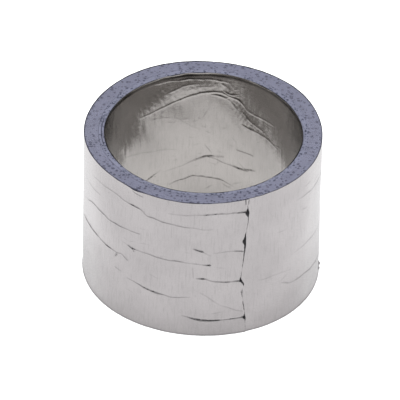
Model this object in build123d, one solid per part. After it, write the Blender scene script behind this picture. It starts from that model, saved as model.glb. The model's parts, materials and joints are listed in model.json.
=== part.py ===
"""Roll of tinned copper foil tape, standing on one end.

The tape is one continuous strip of foil, adhesive and release liner, wound onto a thin core whose
bore is lined with the same foil. The last part of the outer turn is the free end, which lifts.

Frame: millimetres, +Z along the roll's axis, origin at the centre of the end face that it stands
on. The strip winds outwards anticlockwise seen from above, and -Y is the side near its free end.
"""

import os
from math import cos, degrees, radians, sin

from build123d import *

# Driving dimensions, in millimetres and degrees.
BORE_DIAMETER = 76.2
ROLL_WIDTH = 63.5
CORE_WALL = 2.0
FOIL = 0.040
ADHESIVE = 0.035
LINER = 0.085
TURNS = 34
SEAM_ANGLE = -68.6
TAIL_ARC = 20.0
TAIL_CLEARANCE = 0.010
TAIL_ROOT_GAP = 0.060
LINING_JOINT_ANGLE = -90.0
LINING_JOINT_GAP = 0.5

# Sizes that follow from them.
PITCH = LINER + ADHESIVE + FOIL
BORE_RADIUS = BORE_DIAMETER / 2
LINING_RADIUS = BORE_RADIUS + FOIL
CORE_INNER_RADIUS = LINING_RADIUS + ADHESIVE
CORE_OUTER_RADIUS = CORE_INNER_RADIUS + CORE_WALL
OUTER_RADIUS = CORE_OUTER_RADIUS + (TURNS + 0.5) * PITCH
HALF_TURN = 180.0
FULL_TURN = 360.0
STRIP_END = TURNS * FULL_TURN
TAIL_ROOT = STRIP_END - TAIL_ARC
OUTER_TURN_START = TAIL_ROOT - FULL_TURN

# Each layer of the strip, as its distances from the strip's inner face.
LINER_LAYER = (0.0, LINER)
ADHESIVE_LAYER = (LINER, LINER + ADHESIVE)
FOIL_LAYER = (LINER + ADHESIVE, PITCH)


def winding_arc(half_turn):
    """Centre and radius of the strip's inner face over one half-turn.

    Half-turns have two alternate centres, a half pitch apart, so that they meet tangentially and
    the strip moves out by one pitch in each full turn.
    """
    side = -1 if half_turn % 2 == 0 else 1
    radius = CORE_OUTER_RADIUS + PITCH / 4 + half_turn * PITCH / 2
    return (side * PITCH / 4, 0.0), radius


def half_turn_spans(start, end):
    """Splits a stretch of winding angle into (half-turn number, from, to)."""
    number = int(start // HALF_TURN)
    while start < end:
        stop = min(end, (number + 1) * HALF_TURN)
        yield number, start, stop
        start = stop
        number += 1


def wound_layer(start, end, layer):
    """One layer of the strip between two winding angles, at the full width of the roll."""
    low, high = layer
    inner, outer = [], []
    for number, span_start, span_end in half_turn_spans(start, end):
        centre, radius = winding_arc(number)
        for edges, offset in ((inner, low), (outer, high)):
            edges.append(CenterArc(centre, radius + offset, span_start % FULL_TURN, span_end - span_start))
    ends = [Line(inner[0] @ 0, outer[0] @ 0), Line(inner[-1] @ 1, outer[-1] @ 1)]
    outline = Face(Wire([*inner, *outer, *ends]))
    return Rotation(0, 0, SEAM_ANGLE) * extrude(outline, amount=ROLL_WIDTH, dir=(0, 0, 1))


def tube(inner_radius, outer_radius):
    """A plain ring at the full width of the roll."""
    ring = Circle(outer_radius) - Circle(inner_radius)
    return extrude(ring, amount=ROLL_WIDTH)


def lining_sheet(inner_radius, outer_radius):
    """A ring with the narrow slot where the lining's two ends meet."""
    middle = (inner_radius + outer_radius) / 2
    slot_depth = 4 * (outer_radius - inner_radius)
    slot = Box(slot_depth, LINING_JOINT_GAP, ROLL_WIDTH, align=(Align.CENTER, Align.CENTER, Align.MIN))
    return tube(inner_radius, outer_radius) - Rotation(0, 0, LINING_JOINT_ANGLE) * Pos(middle, 0, 0) * slot


def core_nodes():
    """The core and the foil stuck round its bore."""
    return {
        "core_tube": tube(CORE_INNER_RADIUS, CORE_OUTER_RADIUS),
        "bore_lining_adhesive": lining_sheet(LINING_RADIUS, CORE_INNER_RADIUS),
        "bore_lining_foil": lining_sheet(BORE_RADIUS, LINING_RADIUS),
    }


def strip_nodes(name, start, end):
    """The strip's three layers between two winding angles."""
    return {
        f"{name}_liner": wound_layer(start, end, LINER_LAYER),
        f"{name}_adhesive": wound_layer(start, end, ADHESIVE_LAYER),
        f"{name}_foil": wound_layer(start, end, FOIL_LAYER),
    }


def tail_nodes():
    """The free end's layers, clear of the turn below and of the outer turn at the root.

    The liner is a little thinner here, so that it can part from the turn below and the adhesive.
    """
    start = TAIL_ROOT + degrees(TAIL_ROOT_GAP / OUTER_RADIUS)
    liner_layer = (TAIL_CLEARANCE, LINER - TAIL_CLEARANCE)
    return {
        "tail_liner": wound_layer(start, STRIP_END, liner_layer),
        "tail_adhesive": wound_layer(start, STRIP_END, ADHESIVE_LAYER),
        "tail_foil": wound_layer(start, STRIP_END, FOIL_LAYER),
    }


def peel_axis():
    """Where the free end's fold line stands, on the outer turn's outer face."""
    number = int(TAIL_ROOT // HALF_TURN)
    (centre_x, centre_y), inner_radius = winding_arc(number)
    turned = radians(TAIL_ROOT % FULL_TURN)
    radius = inner_radius + PITCH
    fold = Vector(centre_x + radius * cos(turned), centre_y + radius * sin(turned), 0)
    return fold.rotate(Axis.Z, SEAM_ANGLE)


def strip_length():
    """Length of tape on the roll, along the foil."""
    to_foil = PITCH - FOIL / 2
    spans = half_turn_spans(0.0, STRIP_END)
    return sum((winding_arc(number)[1] + to_foil) * radians(stop - start) for number, start, stop in spans)


def all_nodes():
    return {
        **core_nodes(),
        **strip_nodes("wound", 0.0, OUTER_TURN_START),
        **strip_nodes("outer_turn", OUTER_TURN_START, TAIL_ROOT),
        **tail_nodes(),
    }


os.makedirs("parts", exist_ok=True)
for node, shape in all_nodes().items():
    export_step(shape, f"parts/{node}.step")
print("fold line at", peel_axis())
print("outer diameter", round(2 * OUTER_RADIUS, 2))
print("tape length", round(strip_length()))
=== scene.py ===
"""Looks of a roll of tinned copper foil tape that stands on one end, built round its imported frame.

Shapes are worked out in millimetres, in the frame's own axes, and turned into metres as they are
made. A place on the roll is (az, radius, z): az is the angle in degrees from the front (-Y) towards
the right (+X), and z is the height above the floor. Creases are listed by their depth below the
roll's top instead of their height. The strip winds outwards as az grows, and ends at the seam.
"""

import json
import math

import bpy
import numpy as np
from mathutils import Euler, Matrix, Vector


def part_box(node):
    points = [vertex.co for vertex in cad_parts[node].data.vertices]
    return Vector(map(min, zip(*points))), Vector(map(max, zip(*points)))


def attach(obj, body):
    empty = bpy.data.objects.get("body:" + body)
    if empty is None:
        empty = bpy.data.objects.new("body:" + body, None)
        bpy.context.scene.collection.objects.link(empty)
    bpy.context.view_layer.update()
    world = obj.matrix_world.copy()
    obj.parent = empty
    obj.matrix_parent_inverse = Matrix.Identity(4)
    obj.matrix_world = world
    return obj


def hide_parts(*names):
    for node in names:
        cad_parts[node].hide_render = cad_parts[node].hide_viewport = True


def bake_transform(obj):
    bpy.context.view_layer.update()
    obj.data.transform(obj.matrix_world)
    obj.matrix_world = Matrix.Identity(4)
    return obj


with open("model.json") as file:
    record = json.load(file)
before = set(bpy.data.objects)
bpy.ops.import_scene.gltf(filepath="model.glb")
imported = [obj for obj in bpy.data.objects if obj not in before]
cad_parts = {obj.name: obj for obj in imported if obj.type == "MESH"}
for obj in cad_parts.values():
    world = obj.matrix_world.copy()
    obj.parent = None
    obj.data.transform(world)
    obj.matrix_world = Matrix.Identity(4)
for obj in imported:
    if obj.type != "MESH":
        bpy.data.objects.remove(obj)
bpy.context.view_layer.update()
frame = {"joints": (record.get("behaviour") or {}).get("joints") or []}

MM = 0.001
SEED = 11


def extent(node, axis):
    """A node's size along one axis, in millimetres."""
    low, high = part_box(node)
    return (high[axis] - low[axis]) / MM


# The tape's three layers, from the core outwards, in millimetres.
LINER, ADHESIVE, FOIL = 0.085, 0.035, 0.040
PITCH = LINER + ADHESIVE + FOIL

# Sizes read from the frame, in millimetres.
HEIGHT = extent("core_tube", 2)
BORE_RADIUS = round(extent("bore_lining_foil", 1) / 2 - FOIL, 1)
CORE_INNER = extent("bore_lining_adhesive", 1) / 2
CORE_OUTER = extent("core_tube", 1) / 2
peel = next(joint for joint in frame["joints"] if joint["name"] == "tape_end_peel")
HINGE = Vector(peel["pos_m"]) / MM

# The wound strip, with angles in degrees: it ends at the seam, and its free end folds at the hinge.
# The sheets of the free end begin at the split, a little before their hinge, and the outer turn of foil
# begins a little before that, one turn further in.
TURNS = 34
SEAM_AZ = 21.4
HINGE_AZ = math.degrees(math.atan2(HINGE.x, -HINGE.y))
SPLIT_AZ = HINGE_AZ - 2.5
OVERLAP = 6
OUTER_RADIUS = CORE_OUTER + (TURNS + 1) * PITCH
MM_PER_DEGREE = math.radians(OUTER_RADIUS)

# Heights of the rows of points on the outer foil.
ROW_STEP = 0.25
ROWS = np.linspace(0, HEIGHT, round(HEIGHT / ROW_STEP) + 1)

rng = np.random.default_rng(SEED)


# ---------------------------------------------------------------- places on the roll

def ripple(az, waves):
    """Sum of waves round the roll, each (count, size in mm, angle of its crest)."""
    return sum(size * np.cos(np.radians(count * az - crest)) for count, size, crest in waves)


def random_waves(number, counts, size, heights):
    """Random waves as (count round the roll, size, length along z, phase): the fewer, the larger."""
    waves = []
    for _ in range(number):
        count = int(rng.integers(*counts))
        tall = rng.uniform(*heights) * rng.choice((-1, 1))
        scale = size * (counts[0] / count) ** 0.7 / math.sqrt(number)
        waves.append((count, scale, tall, rng.uniform(0, 2 * math.pi)))
    return waves


def rumple(az, z, waves):
    """Sum of random_waves() at a place. It repeats every turn, so that the layers nest."""
    return sum(
        size * np.sin(np.radians(count * az) + 2 * math.pi * z / tall + phase)
        for count, size, tall, phase in waves
    )


# How far the bore, the top and the foot are out of round, for ripple().
BORE_WAVES = [(1, 0.3, -20), (2, 0.18, 36), (3, 0.2, 176), (4, 0.13, -7)]
TOP_WAVES = [(1, 0.28, -164), (2, 0.12, 107), (5, 0.2, -56)]
FOOT_WAVES = [(2, 0.09, 61), (3, 0.25, 149)]
# Unevenness of the outer foil, of the lining and of the strip's two long edges, for rumple().
OUTER_RUMPLE = random_waves(9, (3, 15), 0.1, (20, 80)) + random_waves(14, (28, 100), 0.014, (8, 40))
LINING_RUMPLE = random_waves(7, (3, 12), 0.2, (20, 80)) + random_waves(12, (24, 90), 0.03, (8, 50))
LINING_STREAKS = random_waves(16, (90, 260), 0.009, (6, 40))
CRUMPLE = random_waves(36, (40, 180), 0.028, (1.6, 6))
EDGE_WAVES = random_waves(12, (9, 70), 0.12, (20, 90))
# The outer turn's flared foot, and its swellings, which fade out near the two ends of the roll.
FLARE, FLARE_HEIGHT = 0.3, 1.1
OUTER_SWELL, SWELL_FADE = 0.1, 9.0


def edge_wave(az):
    """A random wave round the roll, mostly between -1 and 1."""
    return rumple(az, 0, EDGE_WAVES) / 0.1


def place(az, radius, z):
    """Points in metres on a roll that was wound slightly out of round."""
    az, radius, z = np.broadcast_arrays(np.asarray(az, float), radius, z)
    share = np.clip((radius - BORE_RADIUS) / (OUTER_RADIUS - BORE_RADIUS), 0, 1)
    up = np.clip(z / HEIGHT, 0, 1)
    outside = ripple(az, FOOT_WAVES) * (1 - up) + ripple(az, TOP_WAVES) * up
    real = radius + ripple(az, BORE_WAVES) * (1 - share) + outside * share
    angle = np.radians(az)
    return np.stack([real * np.sin(angle), -real * np.cos(angle), z], -1) * MM


def swell(az, z):
    """How far the outer turn stands off the pack below it: broad swellings, and a flared foot."""
    inward = np.clip(np.minimum(z, HEIGHT - z) / SWELL_FADE, 0, 1)
    broad = np.maximum(rumple(az, z, OUTER_RUMPLE) + OUTER_SWELL, 0) * inward**2 * (3 - 2 * inward)
    return broad + FLARE * np.sin(np.radians(az)) ** 2 * np.exp(-z / FLARE_HEIGHT)


def strip_radius(az):
    """Radius of the strip's inner face, for az that runs on by 360 for each turn up to the seam."""
    return CORE_OUTER + PITCH * (TURNS + (az - SEAM_AZ) / 360)


# ---------------------------------------------------------------- creases

# Each crease is (darkness of the painted shade in its fold, height of the fold, [(az, depth below the
# top, strength), ...]).
OUTER_CREASES = [
    (0.55, 0.2, [
        (-66, 8, 0.2), (-47, 7, 0.8), (-30, 8.3, 1), (-27.5, 10, 1), (-14, 11, 0.7), (5, 12.2, 0.3),
    ]),
    (0.6, 0.3, [(-16, 6.1, 0.2), (2, 5, 0.6), (17, 5.4, 0.6), (21, 5.8, 1)]),
    (0.3, 0.09, [(-78, 14.7, 0.3), (-67, 14, 1), (-59, 13.6, 0.8)]),
    (0.62, 0.2, [(-78, 25, 0.2), (-65, 20.6, 0.8), (-51, 21, 1), (-31, 20, 0.7)]),
    (0.5, 0.2, [
        (-42, 27.6, 0.1), (-37, 27.8, 1), (-35.5, 28, 2), (-33.5, 28.1, 0.9), (-12, 28.3, 0.9),
        (-5, 28.5, 0.5), (1, 29, 0.9), (2.8, 29.2, 2.4), (4.3, 29.3, 2.4),
    ]),
    (0.5, 0.22, [(-35, 28, 1), (-34, 30, 0.3)]),
    (0.65, 0.26, [
        (-83, 36.7, 0.3), (-77, 34, 0.7), (-65, 33.5, 1), (-45, 34.6, 0.9), (-42, 33.5, 0.6),
        (-38, 35, 0.6),
    ]),
    (0.4, 0.15, [(-45, 34.6, 1), (-47, 37.5, 0.2)]),
    (0.3, 0.06, [(-46, 41.7, 1), (-42, 42.1, 0.6)]),
    (0.9, 0.22, [
        (-38, 43.5, 0.2), (-32, 44.4, 0.8), (-24, 45.3, 1), (-15, 45.7, 0.4), (-5, 45.1, 0.2),
    ]),
    (0.9, 0.22, [(-4, 21.6, 0.4), (-2.2, 22, 1.5), (-0.6, 22.4, 2.2), (1.2, 22.9, 0.9)]),
    (0.35, 0.06, [(1, 23.2, 1), (4.4, 24.9, 0.6)]),
    (0.6, 0.26, [(6, 23.6, 0.3), (14, 23.4, 0.4), (19, 24, 1), (21, 24.3, 0.9)]),
    (0.85, 0.3, [
        (-1, 35.6, 0.3), (1, 35.8, 1), (3, 36, 0.4), (5.6, 37, 0.4), (12.5, 37.6, 0.5),
        (20, 37.8, 1),
    ]),
    (0.95, 0.3, [
        (-9, 54.3, 0.1), (-2, 55.6, 1.1), (4, 55.9, 1.2), (11, 56, 0.6), (17.5, 55.7, 0.6),
        (22, 56, 1),
    ]),
    (0.25, 0.08, [(0, 42.6, 0.6), (5, 45.7, 1), (10, 48.9, 0.8), (21, 53.4, 0.8)]),
    (0.2, 0.04, [(-4, 30.8, 1), (-3.5, 35.3, 0.8)]),
    (1, 0.07, [(21.1, 0, 1.4), (21.2, 1.1, 1.4), (21.3, 2.3, 1.1)]),
]
RIGHT_CREASES = [
    (0.42, 0.12, [(52, 10, 0.3), (60, 11.3, 1), (79, 12.7, 0.9), (92, 13.5, 0.3)]),
    (0.3, 0.11, [(52, 35.1, 0.4), (64, 35.3, 1), (73, 36.7, 1), (84, 37.5, 0.3)]),
    (0.5, 0.14, [(42, 46.2, 0.3), (49, 48.5, 0.9), (60, 49.8, 1), (74, 51.6, 0.9), (86, 53, 0.3)]),
    (0.15, 0.04, [(29, 39.9, 0.7), (49, 41.7, 1)]),
    (1, 0.75, [(87.5, 59.9, 0.2), (88.5, 61.2, 1), (88, 62.3, 1), (87.5, 63.4, 0.6)]),
]
BACK_CREASES = [
    (0.4, 0.17, [(108, 21, 0.2), (121, 22.4, 1), (140, 21.6, 0.9), (152, 22.5, 0.2)]),
    (0.35, 0.15, [(118, 47, 0.2), (131, 45.6, 1), (149, 46.4, 0.9), (166, 44.9, 0.2)]),
    (0.45, 0.2, [(160, 11, 0.2), (172, 12.3, 0.8), (189, 11.8, 1), (206, 13.1, 0.2)]),
    (0.5, 0.21, [(176, 32, 0.2), (188, 33.5, 0.9), (203, 33, 1), (217, 34.4, 0.4), (224, 34, 0.2)]),
    (0.4, 0.17, [(196, 54.5, 0.2), (210, 53.3, 1), (229, 54.2, 0.9), (243, 53, 0.2)]),
    (0.5, 0.21, [(222, 17.6, 0.2), (236, 18.8, 0.9), (252, 18, 1), (266, 16.7, 0.3)]),
    (0.45, 0.18, [(236, 42, 0.2), (247, 43.4, 1), (262, 42.5, 0.8), (273, 43.3, 0.2)]),
]
# Short pinches of strong painted shade, drawn over the creases.
OUTER_PINCHES = [
    (1, 0.2, [(-37.5, 27.6, 0.4), (-36, 27.9, 1.2), (-34.6, 28.4, 1.2), (-34.2, 29.8, 0.4)]),
    (0.9, 0.12, [(-35.5, 0.4, 0.4), (-33, 1.2, 1), (-29.7, 2, 0.5)]),
    (0.9, 0.1, [(-44.5, 34.6, 0.4), (-45, 35.4, 1), (-46, 36.6, 0.4)]),
    (0.9, 0.1, [(16, 23.5, 0.4), (18.5, 23.9, 1), (20.5, 24.2, 0.8)]),
    (1, 0.15, [(-3.5, 21.7, 0.4), (-1, 22.3, 1.2), (0.6, 22.8, 0.6)]),
    (0.9, 0.12, [(-2, 35.6, 0.4), (0.5, 35.8, 1), (2.5, 35.9, 0.5)]),
    (1, 0.15, [(-4.5, 55.2, 0.4), (-1, 55.7, 1), (3, 56, 0.9), (6, 56, 0.4)]),
    (0.7, 0.12, [(-31, 44.5, 0.4), (-27, 45, 1), (-22, 45.5, 0.7), (-19, 45.6, 0.3)]),
    (1, 0.15, [(0.8, 29.05, 0.4), (2.8, 29.25, 1.1), (4.6, 29.3, 0.8)]),
]
# Creases of the bore's lining, with az from the back (+Y) towards the right.
LINING_CREASES = [
    (0.14, 0.17, [
        (-42, 15.6, 0.2), (-35, 16, 0.6), (-22.5, 14.1, 0.9), (-10, 11.2, 0.9), (-2.5, 9.6, 0.8),
        (10, 8.9, 1), (14, 9.8, 0.7),
    ]),
    (0.14, 0.17, [
        (10, 8.9, 0.9), (14, 9.8, 1), (20, 10.7, 0.9), (26, 14.7, 1), (31, 15.6, 0.9),
        (47, 15.8, 0.2),
    ]),
    (0.05, 0.12, [(-46, 1.6, 0.2), (-30, 2.2, 0.7), (-4, 2.9, 1), (7.5, 3.6, 0.9), (16, 4, 0.2)]),
    (0.1, 0.1, [(-24, 8.6, 0.3), (-17.5, 7, 0.9), (-12.5, 5.8, 1), (-4, 5.6, 0.3)]),
    (0.15, 0.1, [(-10, 8.2, 0.3), (-3, 6.8, 1), (6, 6.5, 0.3)]),
    (0.12, 0.03, [(-34, 19, 0.4), (-24, 19.6, 1), (-14, 22.4, 0.8), (-2.5, 28.1, 0.5)]),
    (0.85, 0.15, [
        (23, 22.4, 0.5), (26, 22.6, 1.6), (31, 23, 0.9), (40, 23.2, 0.4), (51, 25.9, 0.25),
        (55, 28, 0.1),
    ]),
    (0.2, 0.04, [(-54, 30.4, 0.4), (-40, 33, 1), (-30, 34.6, 1), (-16, 36.2, 0.4)]),
    (0.45, 0.07, [(20, 35.3, 1), (31, 35.7, 1)]),
    (0.9, 0.18, [(-36, 47.4, 0.5), (-34, 47.1, 2), (-32, 46.7, 1.5), (-30, 46, 0.4), (-26, 45, 0.2)]),
    (0.5, 0.21, [
        (-24, 46, 0.2), (-14, 45, 0.5), (-2.5, 42, 0.9), (1.5, 40.7, 2), (4, 40.3, 1.8),
        (6, 40, 1), (12, 39.7, 0.4),
    ]),
    (0.7, 0.18, [
        (2, 40.4, 1), (7, 41.3, 0.5), (15, 43.3, 0.6), (24, 43.9, 1.4), (30, 43, 1.3), (33, 42.4, 0.4),
    ]),
    (0.6, 0.13, [
        (-20, 53, 0.3), (-14, 51.8, 1), (-7, 49.8, 1.3), (2.5, 50.9, 1), (10.6, 50.9, 1.7),
        (14, 51.8, 0.8), (19, 53.4, 0.3),
    ]),
    (0.4, 0.15, [(160, 18, 0.2), (142, 19.6, 1), (119, 18.4, 0.8), (106, 19.5, 0.2)]),
    (0.4, 0.15, [(242, 33, 0.2), (224, 31.2, 1), (201, 32.6, 0.9), (184, 31.5, 0.2)]),
    (0.4, 0.15, [(175, 50, 0.2), (158, 48.6, 1), (143, 49.8, 0.9), (128, 48.5, 0.2)]),
    (0.35, 0.12, [(108, 40, 0.2), (92, 38.6, 1), (72, 39.4, 0.2)]),
    (0.35, 0.12, [(268, 12, 0.2), (256, 13.4, 1), (238, 12.6, 0.2)]),
]
# Short, sharp folds in the lining, with strong painted shade.
LINING_PINCHES = [
    (1, 0.15, [(-35, 47.4, 0.6), (-33.3, 47, 1.2), (-31.6, 46.4, 0.6)]),
    (1, 0.15, [(-1, 41.2, 0.4), (1.5, 40.6, 1), (4.5, 40.2, 0.8), (6, 40, 0.3)]),
    (0.9, 0.1, [(23.5, 22.3, 0.3), (26.5, 22.7, 1), (29.5, 23.1, 0.4)]),
    (0.8, 0.1, [(21, 43.8, 0.3), (25, 43.9, 1), (28, 43.5, 0.4)]),
    (0.5, 0.2, [(11, 8.3, 0.3), (14.5, 9.5, 1), (17, 9.4, 0.8), (20, 8.8, 0.2)]),
    (0.4, 0.2, [(14.5, 6.3, 0.2), (15, 8.6, 0.9), (14, 10.8, 0.7), (12, 11.6, 0.2)]),
    (0.4, 0.16, [(4, 10.4, 0.2), (9, 10.6, 0.9), (14, 11.8, 0.8), (18, 14.4, 0.7), (21, 17.2, 0.2)]),
    (0.35, 0.14, [(23, 16.2, 0.2), (28, 19, 0.9), (34, 20.3, 0.7), (39, 22, 0.2)]),
]
# The lining bulges off the core beside its big fold: (az from the back, depth of the bulge, height).
LOOSE_LINE = [
    (-68, 38, 0), (-57, 27, 0.12), (-47, 17, 0.16), (-40, 12.4, 0.2), (-22.5, 9, 0.34), (-10, 6.2, 0.32),
    (-2.5, 5, 0.28), (10, 4.6, 0.24), (17, 9, 0.1), (21, 18, 0.14), (31, 22, 0.34), (42, 26.5, 0.34),
    (54, 33, 0),
]
LOOSE_WIDTH, CRUMPLE_REACH = 4.4, 7.0
# Width of a fold in the outer foil and in the lining, in mm. The line of painted shade in it is narrower.
OUTER_FOLD, LINING_FOLD = 0.3, 0.32
LINE_GAIN, LINE_WIDTH = 1.35, 0.6
# A place where the outer foil stands off the top edge: az and its reach in degrees, lift and depth in mm.
TOP_LIP_AZ, TOP_LIP_REACH, TOP_LIP_LIFT, TOP_LIP_DEPTH = -33.5, 3.4, 0.65, 2.0
# The lining's rim turns inwards at the top, and is trimmed short at the front. A band of painted shade
# lies just below it.
RIM_LIP, RIM_LIP_DEPTH, RIM_TRIM, RIM_TRIM_DEPTH = 0.3, 0.35, 0.4, 2.0
RIM_BAND, RIM_BAND_DEPTH, RIM_BAND_WIDTH = 0.6, 1.2, 0.55
# Darkness of the painted contact shadow along the outer foil's edge at the foot, and the height over
# which it fades.
FOOT_SHADE, FOOT_SHADE_HEIGHT = 0.8, 0.28
# Darkness of the hidden faces of the outer foil and of the lining.
OUTER_BACK_DARKENING, LINING_BACK_DARKENING = 0.7, 0.2


def wandering(points, mm_per_degree, step=0.8, sway=0.17, unevenness=0.28):
    """A crease as (arc, depth, strength) rows: its corners are rounded, and it wanders between them."""
    corners = np.array(points, float) * (mm_per_degree, 1, 1)
    lengths = np.hypot(*np.diff(corners[:, :2], axis=0).T)
    at = np.concatenate([[0], np.cumsum(lengths)])
    stops = np.linspace(0, at[-1], max(3, round(at[-1] / step)))
    path = np.stack([np.interp(stops, at, corners[:, k]) for k in range(3)], -1)
    drift = rng.normal(0, 1, (2, len(path) + 4))
    drift = np.stack([np.convolve(row, np.ones(5) / 5, "valid") for row in drift]) * math.sqrt(5)
    path[:, 1] += drift[0] * sway
    path[1:-1] = (path[:-2] + 2 * path[1:-1] + path[2:]) / 4
    path[:, 2] *= 1 + unevenness * np.clip(drift[1], -1.6, 2.4)
    return path


def creased(arc, depth, creases, mm_per_degree, width):
    """Height of the folds, and the painted shade along them, at points given by their arc and depth, in
    mm.
    """
    height, dark = np.zeros(arc.shape), np.zeros(arc.shape)
    reach = 4 * width
    for darkness, lift, points in creases:
        path = wandering(points, mm_per_degree)
        for (arc_a, depth_a, strength_a), (arc_b, depth_b, strength_b) in zip(path[:-1], path[1:]):
            near = (arc > min(arc_a, arc_b) - reach) & (arc < max(arc_a, arc_b) + reach)
            near &= (depth > min(depth_a, depth_b) - reach) & (depth < max(depth_a, depth_b) + reach)
            if not near.any():
                continue
            along, down = arc_b - arc_a, depth_b - depth_a
            x, y = arc[near] - arc_a, depth[near] - depth_a
            share = np.clip((x * along + y * down) / (along * along + down * down + 1e-9), 0, 1)
            strength = strength_a + (strength_b - strength_a) * share
            apart = np.hypot(x - share * along, y - share * down) / width
            fold = lift * strength * np.exp(-(apart**1.4))
            height[near] = np.where(np.abs(fold) > np.abs(height[near]), fold, height[near])
            # Painted shade: a dark line along the middle of the fold.
            line = np.minimum(LINE_GAIN * darkness * strength, 1) * np.exp(-((apart / LINE_WIDTH) ** 2))
            dark[near] = np.maximum(dark[near], line)
    return height, dark


def scattered_creases(number, az_span, depth_span, lengths, lifts, darkness, slope=0.5):
    """Short creases at random places, as lists for creased()."""
    creases = []
    for _ in range(number):
        az, depth = rng.uniform(*az_span), rng.uniform(*depth_span)
        run, fall = rng.uniform(*lengths), rng.normal(0, slope)
        middle = (az + run / 2, depth + run * fall / 2 + rng.normal(0, 0.1), 1)
        points = [(az, depth, 0.1), middle, (az + run, depth + run * fall, 0.1)]
        creases.append((darkness, rng.uniform(*lifts), points))
    return creases


# ---------------------------------------------------------------- meshes

def added(name, data):
    """A new object in the scene."""
    thing = bpy.data.objects.new(name, data)
    bpy.context.scene.collection.objects.link(thing)
    return thing


def add_bake_map(mesh, loops, count, shown):
    """Lays an open swept() mesh out flat: u along the loops, v round them."""
    along = np.linspace(0.003, 0.997, loops)
    around = np.interp(np.arange(count + 1), [0, shown - 1, count], [0.01, 0.9, 0.99])
    row, col = np.mgrid[:loops - 1, :count]
    corner_u = np.stack([along[row], along[row + 1], along[row + 1], along[row]], -1)
    corner_v = np.stack([around[col], around[col], around[col + 1], around[col + 1]], -1)
    bake_map = np.zeros((len(mesh.loops), 2), np.float32)
    bake_map[:corner_u.size] = np.stack([corner_u.ravel(), corner_v.ravel()], -1)
    mesh.uv_layers.new(name="OFBake").data.foreach_set("uv", bake_map.ravel())


def swept(name, sections, notes, ring=False, smooth_angle=45, shown=None):
    """A closed solid from loops of points: sections is (loops, points in a loop, 3), in metres.

    notes holds point attributes by name, as arrays of (loops, points) or (loops, points, 3).
    shown is how many of a loop's first points are on the face that shows, which gets most of the
    bake map. The two ends are closed, unless the loops make a ring.
    """
    loops, count = sections.shape[:2]
    rows = np.arange(loops if ring else loops - 1)[:, None]
    cols = np.arange(count)[None, :]
    next_rows, next_cols = (rows + 1) % loops, (cols + 1) % count
    corners = [
        rows * count + cols, next_rows * count + cols,
        next_rows * count + next_cols, rows * count + next_cols,
    ]
    faces = np.stack(np.broadcast_arrays(*corners), -1).reshape(-1, 4).tolist()
    if not ring:
        faces.append(list(range(count)))
        faces.append([(loops - 1) * count + k for k in reversed(range(count))])
    mesh = bpy.data.meshes.new(name)
    mesh.from_pydata(sections.reshape(-1, 3), [], faces)
    if shown:
        add_bake_map(mesh, loops, count, shown)
    for note, values in notes.items():
        values = np.broadcast_to(values, (loops, count, *np.shape(values)[2:]))
        kind, field = ("FLOAT_VECTOR", "vector") if values.ndim == 3 else ("FLOAT", "value")
        made = mesh.attributes.new(note, kind, "POINT")
        made.data.foreach_set(field, np.ascontiguousarray(values, np.float32).ravel())
    mesh.shade_smooth()
    mesh.set_sharp_from_angle(angle=math.radians(smooth_angle))
    mesh.validate()
    return added(name, mesh)


def spaced(*stretches):
    """Places along a line from (start, end, step) stretches that follow each other."""
    parts = []
    for start, end, step in stretches:
        parts.append(np.linspace(start, end, max(2, math.ceil((end - start) / step)), endpoint=False))
    return np.concatenate([*parts, [stretches[-1][1]]])


def a_turn_back(creases):
    """The same creases, with az in the turn before the seam's."""
    return [(dark, lift, [(az - 360, *rest) for az, *rest in points]) for dark, lift, points in creases]


def foil_face(az, z):
    """Radius of the outer turn's outer face, and the painted shade in its folds and at its foot.

    Every call makes the same random draws, so that the sheets of the free end are creased alike.
    """
    arc, depth = az * MM_PER_DEGREE, HEIGHT - z
    state = rng.bit_generator.state
    creases = OUTER_CREASES + a_turn_back(RIGHT_CREASES + BACK_CREASES)
    creases += a_turn_back(scattered_creases(26, (30, 300), (2, 61), (2, 9), (0.03, 0.1), 0.2, 0.25))
    creases += scattered_creases(14, (-60, 18), (2, 61), (1.5, 7), (0.03, 0.08), 0.2, 0.25)
    height, dark = creased(arc, depth, creases + OUTER_PINCHES, MM_PER_DEGREE, OUTER_FOLD)
    rng.bit_generator.state = state
    height += TOP_LIP_LIFT * np.exp(-(((az - TOP_LIP_AZ) / TOP_LIP_REACH) ** 2) - depth / TOP_LIP_DEPTH)
    # Painted contact shadow along the foot.
    dark = np.maximum(dark, FOOT_SHADE * np.exp(-z / FOOT_SHADE_HEIGHT))
    return strip_radius(az) + PITCH + height + swell(az, z), dark


def there_and_back(first, last):
    """Loops of points from two faces: along the first one, and back along the last."""
    return np.concatenate([first, last[:, ::-1]], 1)


def strip_notes(az, z, dark=0.0):
    """Attributes for the materials: place along and across the strip in mm, and darkening, which is
    painted shade in folds, at the foot and in pits, and a darker tone on hidden faces and the last turns.
    """
    az, z, dark = np.broadcast_arrays(az, z, dark)
    return {"strip": np.stack([az * MM_PER_DEGREE, z, np.zeros(az.shape)], -1), "painted_shade_and_darkening": dark}


def ragged_ends(az, z):
    """Moves the rows at the strip's two long edges a little, as a slit edge wanders."""
    top = np.clip(rumple(az, 0, EDGE_WAVES), -0.3, 0.08)
    foot = np.abs(rumple(az, 40, EDGE_WAVES)) * 1.5
    up = z / HEIGHT
    return z + top * up**8 + foot * (1 - up) ** 8


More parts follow.
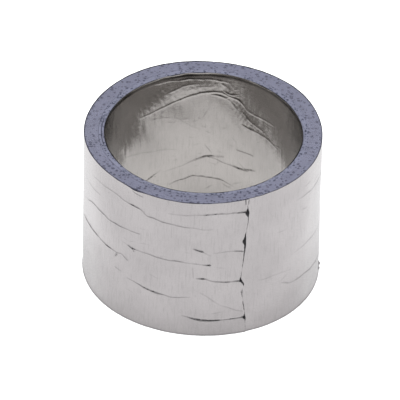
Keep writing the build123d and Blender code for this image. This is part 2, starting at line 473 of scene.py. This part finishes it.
def outer_turn():
    """The outer turn of foil, from under the free end round to the free end's fold."""
    az = spaced(
        (SPLIT_AZ - 360 - OVERLAP, -339.5, 2.0), (-339.5, -265, 0.85), (-265, -92, 1.7), (-92, -8, 0.63),
        (-8, SPLIT_AZ, 0.3),
    )
    az_grid, z_grid = np.meshgrid(az, ROWS, indexing="ij")
    radius, dark = foil_face(az_grid, z_grid)
    z_outside = ragged_ends(az_grid, z_grid)
    depth_behind = np.array([0, 0.5, 1, 1.75, 2.5, 4, 6, HEIGHT - 0.5, HEIGHT])
    rows_behind = np.rint((HEIGHT - depth_behind) / ROW_STEP).astype(int)
    radius_behind = radius[:, rows_behind] - FOIL
    # From 6 mm down to the foot the inner face has no rows that could follow the folds, so it lies
    # flat there, just outside the adhesive.
    radius_behind[:, 6:8] = strip_radius(az)[:, None] + PITCH - 0.8 * FOIL
    outside = place(az_grid, radius, z_outside)
    inside = place(az_grid[:, rows_behind], radius_behind, z_outside[:, rows_behind])
    notes = strip_notes(
        np.concatenate([az_grid, az_grid[:, rows_behind]], 1),
        np.concatenate([z_grid, z_grid[:, rows_behind]], 1),
        np.concatenate([dark, np.full(radius_behind.shape, OUTER_BACK_DARKENING)], 1),
    )
    return swept("foil_outer_turn", np.concatenate([outside, inside], 1), notes, shown=len(ROWS))


# The seam, by depth below the top: az of the strip's torn end, how far the foil stops short of it, and
# how far the foil stands off the roll there. Where the foil stops short, a strip of near-black adhesive
# shows, which is painted shadow for the seam's gap.
SEAM_LINE = [
    (0, 22.9), (2.3, 22.9), (2.6, 22.2), (5.5, 22.8), (11, 22.8), (16, 21.6), (22, 21.6), (29, 20.6),
    (37, 19.4), (40, 21.3), (43.5, 20), (50, 21.3), (55.5, 22.1), (63.5, 22.5),
]
SEAM_SHADE_WIDTH = [
    (0, 0.22), (3.2, 0.2), (3.6, 0.1), (4.4, 0.35), (6, 1.7), (7.4, 0.9), (8.3, 0.35), (10, 0.12),
    (11.5, 0.3), (13, 0.06), (15.5, 0.12), (17, 0.5), (19.3, 1.4), (20.4, 1.15), (21.4, 0.6), (24, 0.45),
    (27, 0.3), (31, 0.15), (33, 0.06), (35.5, 0.12), (36.8, 0.35), (38, 1.1), (39, 0.8), (40, 0.45),
    (41, 0.05), (42.6, 0.05), (43.2, 0.3), (45, 0.28), (46, 0.04), (48, 0.04), (48.6, 0.3), (50.4, 0.3),
    (51, 0.04), (52, 0.2), (53.3, 0.05), (54.5, 0.15), (56.2, 1.2), (57.2, 0.3), (58, 0.1), (60, 0.05),
    (63.5, 0.08),
]
EDGE_LIFT = [
    (0, 0.25), (3, 0.05), (4.6, 0.2), (6.4, 0.75), (8.5, 0.1), (11, 0.05), (15, 0.1), (19.5, 0.6),
    (23, 0.3), (27, 0.15), (33, 0.05), (36, 0.15), (38, 0.75), (40.5, 0.15), (42, 0.05), (44, 0.12),
    (47, 0.04), (49.5, 0.12), (53, 0.05), (54.8, 0.15), (56.3, 0.7), (58.5, 0.05), (63.5, 0.08),
]
EDGE_LIFT_REACH = 1.6


def at_depth(table, z):
    """Interpolates a table of (depth, value)."""
    depth, value = np.array(table).T
    return np.interp(HEIGHT - z, depth, value)


def free_end(name, first, last, last_az):
    """One layer of the free end: a sheet between two distances above the strip's inner face.

    last_az gives the az of the sheet's free edge at a height.
    """
    # Points are closer together near the torn edge.
    share = spaced((0, 0.7, 0.02), (0.7, 1, 0.0085))[:, None]
    z = np.broadcast_to(ROWS[None, :], (len(share), len(ROWS)))
    az = SPLIT_AZ + (last_az(z) - SPLIT_AZ) * share
    radius, dark = foil_face(az, z)
    to_edge = (at_depth(SEAM_LINE, z) - az) * MM_PER_DEGREE
    past_hinge = np.clip((az - HINGE_AZ - 1) / 4, 0, 1)
    radius = radius + past_hinge * at_depth(EDGE_LIFT, z) * np.exp(-to_edge / EDGE_LIFT_REACH)
    z_shown = ragged_ends(az, z)
    outside = place(az, radius - PITCH + last, z_shown)
    inside = place(az, radius - PITCH + first, z_shown)
    notes = strip_notes(there_and_back(az, az), there_and_back(z, z), there_and_back(dark, dark))
    return swept(name, there_and_back(outside, inside), notes, shown=len(ROWS))


def jag(z, size):
    """A torn edge's small teeth, in degrees."""
    teeth = np.sin(2.1 * z) + 0.7 * np.sin(5.3 * z + 1) + 0.5 * np.sin(9.7 * z + 2)
    return size / MM_PER_DEGREE * teeth / 2


def foil_edge_az(z):
    """Where the free end's foil stops, as az at a height."""
    return at_depth(SEAM_LINE, z) - at_depth(SEAM_SHADE_WIDTH, z) / MM_PER_DEGREE + jag(z, 0.12)


def adhesive_edge_az(z):
    """Where the free end's adhesive stops; its near-black strip beside the foil's torn edge is painted
    shadow for the seam's gap.
    """
    return at_depth(SEAM_LINE, z) + jag(z + 3, 0.06)


def liner_edge_az(z):
    """Where the free end's liner stops, a little short of the adhesive."""
    return at_depth(SEAM_LINE, z) - 0.1 / MM_PER_DEGREE


# The strip's edges wander up and down by about this much at the roll's ends, in mm. Its last turns
# stand lower than the others, by the drop, and are darker.
WANDER = 0.02
LAST_TURNS, LAST_TURNS_DROP, LAST_TURNS_DARKENING = 3.0, 0.3, 0.8


def spiral_strip(name, az_start, az_end, first, last, short):
    """A long stretch of one layer of the strip, which stops a little short of the roll's two ends."""
    az = spaced((az_start, az_end, 3.0))
    turn = az / 360
    settle = np.sin(turn * 2.3) + 0.6 * np.sin(turn * 7.1 + 2) + 0.7 * edge_wave(az * 0.37)
    settle *= WANDER
    slack = np.clip(turn + LAST_TURNS - SEAM_AZ / 360, 0, 1)
    sunk = short + LAST_TURNS_DROP * slack
    top, foot = HEIGHT - sunk + np.minimum(settle, sunk), short + np.abs(settle) * 0.5
    z = np.stack([foot, top, top, foot], 1)
    radius = strip_radius(az)[:, None] + np.array([last, last, first, first])
    notes = strip_notes(az[:, None], z, LAST_TURNS_DARKENING * slack[:, None])
    return swept(name, place(az[:, None], radius, z), notes, smooth_angle=30)


def lining_creases():
    """The lining's creases, with az from the back: the listed ones, scattered ones, then pinches."""
    creases = [
        (dark, lift, [((az_back + 180) % 360 - 180, *rest) for az_back, *rest in points])
        for dark, lift, points in LINING_CREASES
    ]
    creases += scattered_creases(44, (-32, 22), (2.5, 10.5), (1, 5), (0.02, 0.08), 0.1, 0.3)
    creases += scattered_creases(16, (12, 50), (9, 24), (0.6, 4), (0.02, 0.06), 0.25, 0.8)
    creases += scattered_creases(16, (-50, -14), (10, 24), (0.6, 4), (0.02, 0.06), 0.25, 0.8)
    creases += scattered_creases(40, (-60, 60), (20, 58), (1, 5), (0.02, 0.07), 0.3, 0.4)
    creases += scattered_creases(24, (-64, 56), (4, 60), (2, 8), (0.02, 0.08), 0.25, 0.4)
    return creases + LINING_PINCHES


def lining():
    """The wrinkled foil on the bore's wall; its two ends meet at the front."""
    mm_per_degree = math.radians(BORE_RADIUS)
    az = spaced((0.4, 110, 2.2), (110, 250, 0.5), (250, 359.6, 2.2))
    rows = HEIGHT - spaced((0, 1.2, 0.1), (1.2, 30, 0.3), (30, HEIGHT, 0.36))
    az_grid, z_grid = np.meshgrid(az, rows, indexing="ij")
    from_back, depth = 180 - az_grid, HEIGHT - z_grid
    arc = from_back * mm_per_degree
    height, dark = creased(arc, depth, lining_creases(), mm_per_degree, LINING_FOLD)
    # Painted shade: a dark band just below the rim's lip.
    dark = np.maximum(dark, RIM_BAND * np.exp(-(((depth - RIM_BAND_DEPTH) / RIM_BAND_WIDTH) ** 2)))
    back, bulge_depth, bulge_height = np.array(LOOSE_LINE).T
    off_line = depth - np.interp(from_back, back, bulge_depth)
    height += np.interp(from_back, back, bulge_height, 0, 0) * np.exp(-((off_line / LOOSE_WIDTH) ** 2))
    # Streaks fade downwards, and the foil is crumpled beside the big fold.
    streaks = rumple(az_grid, z_grid, LINING_STREAKS) * (0.3 + np.exp(-depth / 16))
    near_fold = np.exp(-((off_line / CRUMPLE_REACH) ** 2) - (from_back / 50) ** 4)
    streaks += rumple(az_grid, z_grid, CRUMPLE) * near_fold
    height += np.maximum(rumple(az_grid, z_grid, LINING_RUMPLE) + 0.12, 0.02) + streaks
    lip = RIM_LIP * np.clip(1.25 * edge_wave(az_grid * 0.5 + 60) + 0.7, 0.1, 1.4)
    lip_height = lip * np.exp(-depth / RIM_LIP_DEPTH)
    inward = np.clip(np.minimum(z_grid, depth) / 1.5, 0, 1)
    bore = BORE_RADIUS - np.maximum(height, 0.005) * inward - lip_height
    front = np.clip(np.cos(np.radians(az_grid)), 0, 1)
    trimmed = z_grid - RIM_TRIM * front * np.exp(-depth / RIM_TRIM_DEPTH)
    inside = place(az_grid, bore, trimmed)[:, ::-1]
    rows_behind = np.array([0, 2, 4, 7, 11, 20, len(rows) - 1])
    az_back, z_back = az_grid[:, rows_behind], z_grid[:, rows_behind]
    behind = place(az_back, BORE_RADIUS - lip_height[:, rows_behind] + FOIL, trimmed[:, rows_behind])
    along = np.concatenate([arc, arc[:, rows_behind]], 1)
    across = np.concatenate([z_grid[:, ::-1], z_back], 1)
    notes = {
        "strip": np.stack([along, across, np.zeros(along.shape)], -1),
        "painted_shade_and_darkening": np.concatenate([dark[:, ::-1], np.full(z_back.shape, LINING_BACK_DARKENING)], 1),
    }
    return swept("foil_bore_lining", np.concatenate([inside, behind], 1), notes, shown=len(rows))


# How far the adhesive and the core stop short of the roll's two ends, in mm.
GLUE_SHORT, CORE_SHORT = 0.05, 0.02
# The core's worn edge at the bore: depth and width. The groove in its top: az, half its length in
# degrees, radius, width and depth. The pits in each end: how many, their radii and their depths.
WORN_DEPTH, WORN_WIDTH = 0.18, 0.28
GROOVE_AZ, GROOVE_REACH, GROOVE_RADIUS, GROOVE_WIDTH, GROOVE_DEPTH = 272, 14, 39.1, 0.12, 0.35
PITS, PIT_SIZES, PIT_DEPTHS = 170, (0.15, 0.34), (0.08, 0.3)


def lining_glue():
    """The line of adhesive between the lining and the core."""
    az = spaced((0, 360, 2.0))[:-1]
    inner, outer = BORE_RADIUS + FOIL, CORE_INNER
    low, high = GLUE_SHORT, HEIGHT - GLUE_SHORT
    corners = [(inner, low), (outer, low), (outer, high), (inner, high)]
    sections = np.stack([place(az, radius, z) for radius, z in corners], 1)
    z = np.array([[corner[1] for corner in corners]])
    return swept("lining_adhesive", sections, strip_notes(az[:, None], z), ring=True)


def core():
    """The core's board: its cut ends are worn at the bore, pitted, and grooved at the top's left."""
    az = spaced((0, 360, 0.5))[:-1]
    across = spaced((CORE_INNER, CORE_INNER + 0.6, 0.1), (CORE_INNER + 0.6, CORE_OUTER, 0.16))
    az_grid, radius_grid = np.meshgrid(az, across, indexing="ij")
    off_middle = ((az_grid - GROOVE_AZ) / GROOVE_REACH) ** 4
    groove = GROOVE_DEPTH * np.exp(-off_middle - ((radius_grid - GROOVE_RADIUS) / GROOVE_WIDTH) ** 2)
    worn = np.clip(edge_wave(az_grid * 0.7) + 0.8, 0.3, 1.6)
    worn = WORN_DEPTH * worn * np.exp(-(((radius_grid - CORE_INNER) / WORN_WIDTH) ** 2))
    foot_sunk, top_sunk = worn.copy(), worn + groove
    for end in (foot_sunk, top_sunk):
        for _ in range(PITS):
            pit_az, pit_radius = rng.uniform(0, 360), rng.uniform(CORE_INNER + 0.3, CORE_OUTER - 0.2)
            size, deep = rng.uniform(*PIT_SIZES), rng.uniform(*PIT_DEPTHS)
            turned = (az_grid - pit_az + 180) % 360 - 180
            along = np.radians(turned) * pit_radius / rng.uniform(1, 1.6)
            away = np.hypot(along, radius_grid - pit_radius)
            end += deep * np.exp(-((away / size) ** 2))
    top = place(az_grid, radius_grid, HEIGHT - CORE_SHORT - top_sunk)
    foot = place(az_grid, radius_grid, CORE_SHORT + foot_sunk)
    # Painted shade: the pits and the groove are darker the deeper they are, and the worn edge is not.
    dark = 3 * (there_and_back(foot_sunk, top_sunk) - 0.8 * there_and_back(worn, worn))
    z = there_and_back(foot_sunk, HEIGHT - top_sunk)
    notes = strip_notes(there_and_back(az_grid, az_grid), z, np.clip(dark, 0, 1))
    return swept("core_board", there_and_back(foot, top), notes, ring=True)


# ---------------------------------------------------------------- materials

class Nodes:
    """A short way to write a material's node tree."""

    def __init__(self, name):
        self.material = bpy.data.materials.new(name)
        self.material.use_nodes = True
        self.tree = self.material.node_tree
        self.shader = self.tree.nodes["Principled BSDF"]

    def add(self, kind, inputs=None, **settings):
        node = self.tree.nodes.new(kind)
        for key, value in settings.items():
            setattr(node, key, value)
        for key, value in (inputs or {}).items():
            self.set(node.inputs[key], value)
        return node

    def set(self, socket, value):
        if isinstance(value, bpy.types.NodeSocket):
            self.tree.links.new(value, socket)
        else:
            socket.default_value = value

    def note(self, name, output="Fac"):
        """A point attribute of the mesh."""
        return self.add("ShaderNodeAttribute", attribute_name=name).outputs[output]

    def noise(self, vector, scale, detail=2.0, roughness=0.5):
        """A cloudy pattern, mostly between 0.3 and 0.7."""
        inputs = {"Vector": vector, "Scale": scale, "Detail": detail, "Roughness": roughness}
        return self.add("ShaderNodeTexNoise", inputs).outputs["Fac"]

    def stretched(self, vector, scale):
        """A place whose three parts are multiplied by those of scale."""
        return self.add("ShaderNodeVectorMath", {0: vector, 1: scale}, operation="MULTIPLY").outputs[0]

    def math(self, operation, first, second=0.0):
        return self.add("ShaderNodeMath", {0: first, 1: second}, operation=operation).outputs[0]

    def ramp(self, value, low, high, to_low=0.0, to_high=1.0):
        """A value between low and high, carried over to lie between to_low and to_high."""
        inputs = {"Value": value, "From Min": low, "From Max": high, "To Min": to_low, "To Max": to_high}
        return self.add("ShaderNodeMapRange", inputs).outputs["Result"]

    def mix(self, share, first, second):
        """A colour that goes from the first to the second as share goes from 0 to 1."""
        node = self.add("ShaderNodeMix", data_type="RGBA")
        self.set(node.inputs["Factor"], share)
        self.set(node.inputs[6], first)
        self.set(node.inputs[7], second)
        return node.outputs[2]

    def bump(self, height, strength, distance_mm):
        """A normal for small relief that is not in the mesh."""
        inputs = {"Height": height, "Strength": strength, "Distance": distance_mm * MM}
        return self.add("ShaderNodeBump", inputs).outputs["Normal"]

    def shaded(self, inputs):
        """The material, once its shader has these inputs."""
        for key, value in inputs.items():
            self.set(self.shader.inputs[key], value)
        return self.material


def tint(colour, factor=1.0):
    """A colour made lighter or darker, with its alpha."""
    return [factor * part for part in colour] + [1]


def foil_material(name, colour, shadow, roughness, hatch, edge_tint=1.0):
    """Tinned foil: fine hatch across the strip, cloudy sheen, and painted shade in the folds, which
    darkens the colour and dims the reflection and the coat.

    hatch is the strength of the relief, and edge_tint the sheen's strength where the foil turns away.
    """
    nodes = Nodes(name)
    at = nodes.note("strip", "Vector")
    lines = nodes.noise(nodes.stretched(at, (1.0, 0.1, 1.0)), 1.5, 2.0, 0.7)
    threads = nodes.noise(nodes.stretched(at, (0.12, 1.0, 1.0)), 1.4, 2.0, 0.6)
    cloud = nodes.noise(at, 0.05, 4.0, 0.6)
    speck = nodes.noise(at, 2.2, 3.0, 0.6)
    painted_shade_and_darkening = nodes.note("painted_shade_and_darkening")
    plain = nodes.mix(nodes.ramp(cloud, 0.35, 0.65), tint(colour, 0.94), tint(colour, 1.05))
    ruled = nodes.mix(nodes.ramp(lines, 0.5, 0.72, 0, 0.24), plain, tint(colour, 0.5))
    facing = nodes.add("ShaderNodeLayerWeight", {"Blend": 0.5}).outputs["Facing"]
    # Painted shade from the point attribute: the colour goes towards shadow, and the reflection and the
    # coat are dimmed.
    unshaded = nodes.ramp(painted_shade_and_darkening, 0.0, 1.0, 1.0, 0.1)
    relief = nodes.math("ADD", lines, nodes.math("MULTIPLY", threads, 0.6))
    return nodes.shaded({
        "Base Color": nodes.mix(painted_shade_and_darkening, ruled, tint(shadow)),
        "Metallic": 1.0,
        "Specular Tint": nodes.math("MULTIPLY", nodes.ramp(facing, 0.66, 0.88, 1.0, edge_tint), unshaded),
        "Coat Weight": nodes.math("MULTIPLY", unshaded, 0.3),
        "Coat Roughness": 0.25,
        "Roughness": nodes.ramp(speck, 0.3, 0.7, roughness - 0.04, roughness + 0.05),
        "Normal": nodes.bump(relief, hatch, 0.05),
    })


def board_material(name, colour, dark, density=1.0):
    """Pressed paper: fibres, faint clouds, and dark specks as wide as about half a millimetre."""
    nodes = Nodes(name)
    place_m = nodes.add("ShaderNodeTexCoord").outputs["Object"]
    at = nodes.stretched(place_m, (1000.0, 1000.0, 1000.0))
    lengthened = nodes.stretched(place_m, (1000.0, 1000.0, 800.0))
    fibre = nodes.noise(at, 2.6, 4.0, 0.65)
    cloud = nodes.noise(at, 0.16, 3.0, 0.5)
    warp = nodes.noise(lengthened, 1.9, 2.0, 0.5)
    cell_inputs = {"Vector": lengthened, "Scale": 0.74 * density, "Randomness": 1.0}
    cells = nodes.add("ShaderNodeTexVoronoi", cell_inputs)
    reach = nodes.ramp(cells.outputs["Color"], 0.05, 0.9, 0.03, 0.52)
    edge = nodes.math("ADD", cells.outputs["Distance"], nodes.ramp(warp, 0.3, 0.7, -0.1, 0.1))
    speck = nodes.ramp(nodes.math("SUBTRACT", reach, edge), -0.05, 0.06)
    base = nodes.mix(nodes.ramp(cloud, 0.35, 0.65), tint(colour, 0.93), tint(colour, 1.06))
    fibred = nodes.mix(nodes.ramp(fibre, 0.45, 0.8, 0, 0.3), base, tint(dark))
    specked = nodes.mix(nodes.math("MULTIPLY", speck, 0.84), fibred, tint(dark))
    relief = nodes.math("SUBTRACT", nodes.math("MULTIPLY", fibre, 0.5), speck)
    # The colour goes towards dark with the point attribute: painted shade in pits, the groove and folds,
    # and a darker tone on the last turns.
    return nodes.shaded({
        "Base Color": nodes.mix(nodes.note("painted_shade_and_darkening"), specked, tint(dark)),
        "Roughness": nodes.ramp(fibre, 0.2, 0.8, 0.7, 0.9),
        "Specular IOR Level": 0.25,
        "Normal": nodes.bump(relief, 0.4, 0.12),
    })


def adhesive_material(name, colour, dusty):
    """Dark acrylic adhesive, tacky and a little dusty."""
    nodes = Nodes(name)
    dust = nodes.noise(nodes.note("strip", "Vector"), 1.6, 4.0, 0.7)
    return nodes.shaded({
        "Base Color": nodes.mix(nodes.ramp(dust, 0.45, 0.75), tint(colour), tint(dusty)),
        "Roughness": nodes.ramp(dust, 0.3, 0.7, 0.45, 0.7),
        "Specular IOR Level": 0.2,
        "Normal": nodes.bump(dust, 0.4, 0.04),
    })


def floor_material(name, colour, cloudy, glow):
    """Matt white acrylic that is lit a little from below, so that it stays evenly pale."""
    nodes = Nodes(name)
    cloud = nodes.noise(nodes.add("ShaderNodeTexCoord").outputs["Object"], 3.0, 2.0, 0.5)
    return nodes.shaded({
        "Base Color": nodes.mix(cloud, tint(colour), tint(cloudy)),
        "Roughness": 0.9,
        "Specular IOR Level": 0.1,
        "Emission Color": (1, 1, 1, 1),
        "Emission Strength": glow,
    })


# ---------------------------------------------------------------- the object

outer_foil = foil_material("tinned_foil", (0.274, 0.26, 0.261), (0.02, 0.019, 0.021), 0.25, 0.5, 0.68)
lining_foil = foil_material("tinned_foil_lining", (0.279, 0.265, 0.254), (0.024, 0.022, 0.02), 0.21, 0.5)
edge_foil = foil_material("tinned_foil_edge", (0.3, 0.3, 0.36), (0.05, 0.05, 0.055), 0.5, 0.4)
liner_paper = board_material("liner_paper", (0.192, 0.197, 0.27), (0.034, 0.036, 0.066))
core_paper = board_material("core_paper", (0.15, 0.155, 0.208), (0.024, 0.026, 0.045), 1.35)
adhesive = adhesive_material("adhesive", (0.003, 0.003, 0.004), (0.018, 0.018, 0.02))


def finish_piece(piece, material, slot, body, *nodes):
    """Gives a piece its look, and hides the nodes of the frame that it stands for.

    body is the body it rides on, which it is attached to; a pair of bodies only fixes the piece in place,
    unattached.
    """
    piece.data.materials.append(material)
    if isinstance(body, tuple):
        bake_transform(piece)
    else:
        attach(piece, body)
    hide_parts(*nodes)
    return piece


finish_piece(core(), core_paper, "core_board", "roll", "core_tube")
finish_piece(lining(), lining_foil, "foil", "roll", "bore_lining_foil")
finish_piece(lining_glue(), adhesive, "adhesive", "roll", "bore_lining_adhesive")

# The wound layers: their distances above the strip's inner face, and how short they stop of the ends.
FIRST_AZ = SEAM_AZ - 360 * TURNS
WOUND_END = HINGE_AZ - 360
for layer, first, last, short, material in (
    ("liner", 0, LINER, 0.0, liner_paper),
    ("adhesive", LINER, LINER + ADHESIVE, 0.08, adhesive),
    ("foil", LINER + ADHESIVE, PITCH, 0.02, edge_foil),
):
    strip = spiral_strip(f"wound_{layer}_turns", FIRST_AZ, WOUND_END - 1, first, last, short)
    finish_piece(strip, material, layer, "roll", f"wound_{layer}")
    if layer != "foil":
        strip = spiral_strip(f"outer_{layer}_turn", WOUND_END, SPLIT_AZ, first, last, short)
        finish_piece(strip, material, layer, "roll", f"outer_turn_{layer}")
finish_piece(outer_turn(), outer_foil, "foil", "roll", "outer_turn_foil")

# The free end's sheets are a little thinner than the wound layers, so that they do not touch.
for layer, first, last, edge_az, material, body in (
    ("foil", LINER + ADHESIVE, PITCH, foil_edge_az, outer_foil, "tape_end"),
    ("adhesive", LINER + 0.005, LINER + ADHESIVE - 0.002, adhesive_edge_az, adhesive, "tape_end"),
    ("liner", 0.01, LINER - 0.005, liner_edge_az, liner_paper, "liner_end"),
):
    sheet = free_end(f"{layer}_free_end", first, last, edge_az)
    finish_piece(sheet, material, layer, ("roll", body), f"tail_{layer}")

# ---------------------------------------------------------------- floor, light and camera

# Lengths here are in metres, apart from the lens and the sensor, which are in millimetres.
FLOOR_SIZE, FLOOR_DROP, FLOOR_GLOW = 6.0, 0.00002, 0.55
LAMP_PLACE, LAMP_SIZE, LAMP_WATTS = Vector((0, -0.06, 1.3)), 0.9, 23
WORLD_COLOUR, WORLD_STRENGTH = (0.97, 0.98, 1, 1), 0.45
LENS, SENSOR, SHIFT = 600.0, 36.0, (-0.0061, -0.0060)
DISTANCE, ELEVATION, ROLL = 2.570, 37.4, 1.3


half = FLOOR_SIZE / 2
floor_corners = [(-half, -half, 0), (half, -half, 0), (half, half, 0), (-half, half, 0)]
floor_mesh = bpy.data.meshes.new("floor")
floor_mesh.from_pydata(floor_corners, [], [(0, 1, 2, 3)])
floor_mesh.materials.append(
    floor_material("pale_floor", (0.79, 0.79, 0.795), (0.81, 0.81, 0.815), FLOOR_GLOW)
)
floor = added("floor", floor_mesh)
floor.location.z = -FLOOR_DROP

lamp_data = bpy.data.lights.new("overhead", "AREA")
lamp_data.shape = "SQUARE"
lamp_data.size = LAMP_SIZE
lamp_data.energy = LAMP_WATTS
lamp = added("overhead", lamp_data)
lamp.location = LAMP_PLACE
lamp.rotation_euler = (-LAMP_PLACE).to_track_quat("-Z", "Y").to_euler()

world = bpy.data.worlds.new("studio")
bpy.context.scene.world = world
world.use_nodes = True
world.node_tree.nodes["Background"].inputs["Color"].default_value = WORLD_COLOUR
world.node_tree.nodes["Background"].inputs["Strength"].default_value = WORLD_STRENGTH
bpy.context.scene.view_settings.view_transform = "Standard"

camera_data = bpy.data.cameras.new("camera")
camera_data.lens = LENS
camera_data.sensor_width = SENSOR
camera_data.shift_x, camera_data.shift_y = SHIFT
camera_data.clip_end = 100
camera = added("camera", camera_data)
middle = Vector((0, 0, HEIGHT / 2 * MM))
tilt = math.radians(ELEVATION)
camera.location = middle + DISTANCE * Vector((0, -math.cos(tilt), math.sin(tilt)))
turned = (middle - camera.location).to_track_quat("-Z", "Y").to_matrix()
rolled = Euler((0, 0, math.radians(ROLL))).to_matrix()
camera.rotation_euler = (turned @ rolled).to_euler()
bpy.context.scene.camera = camera
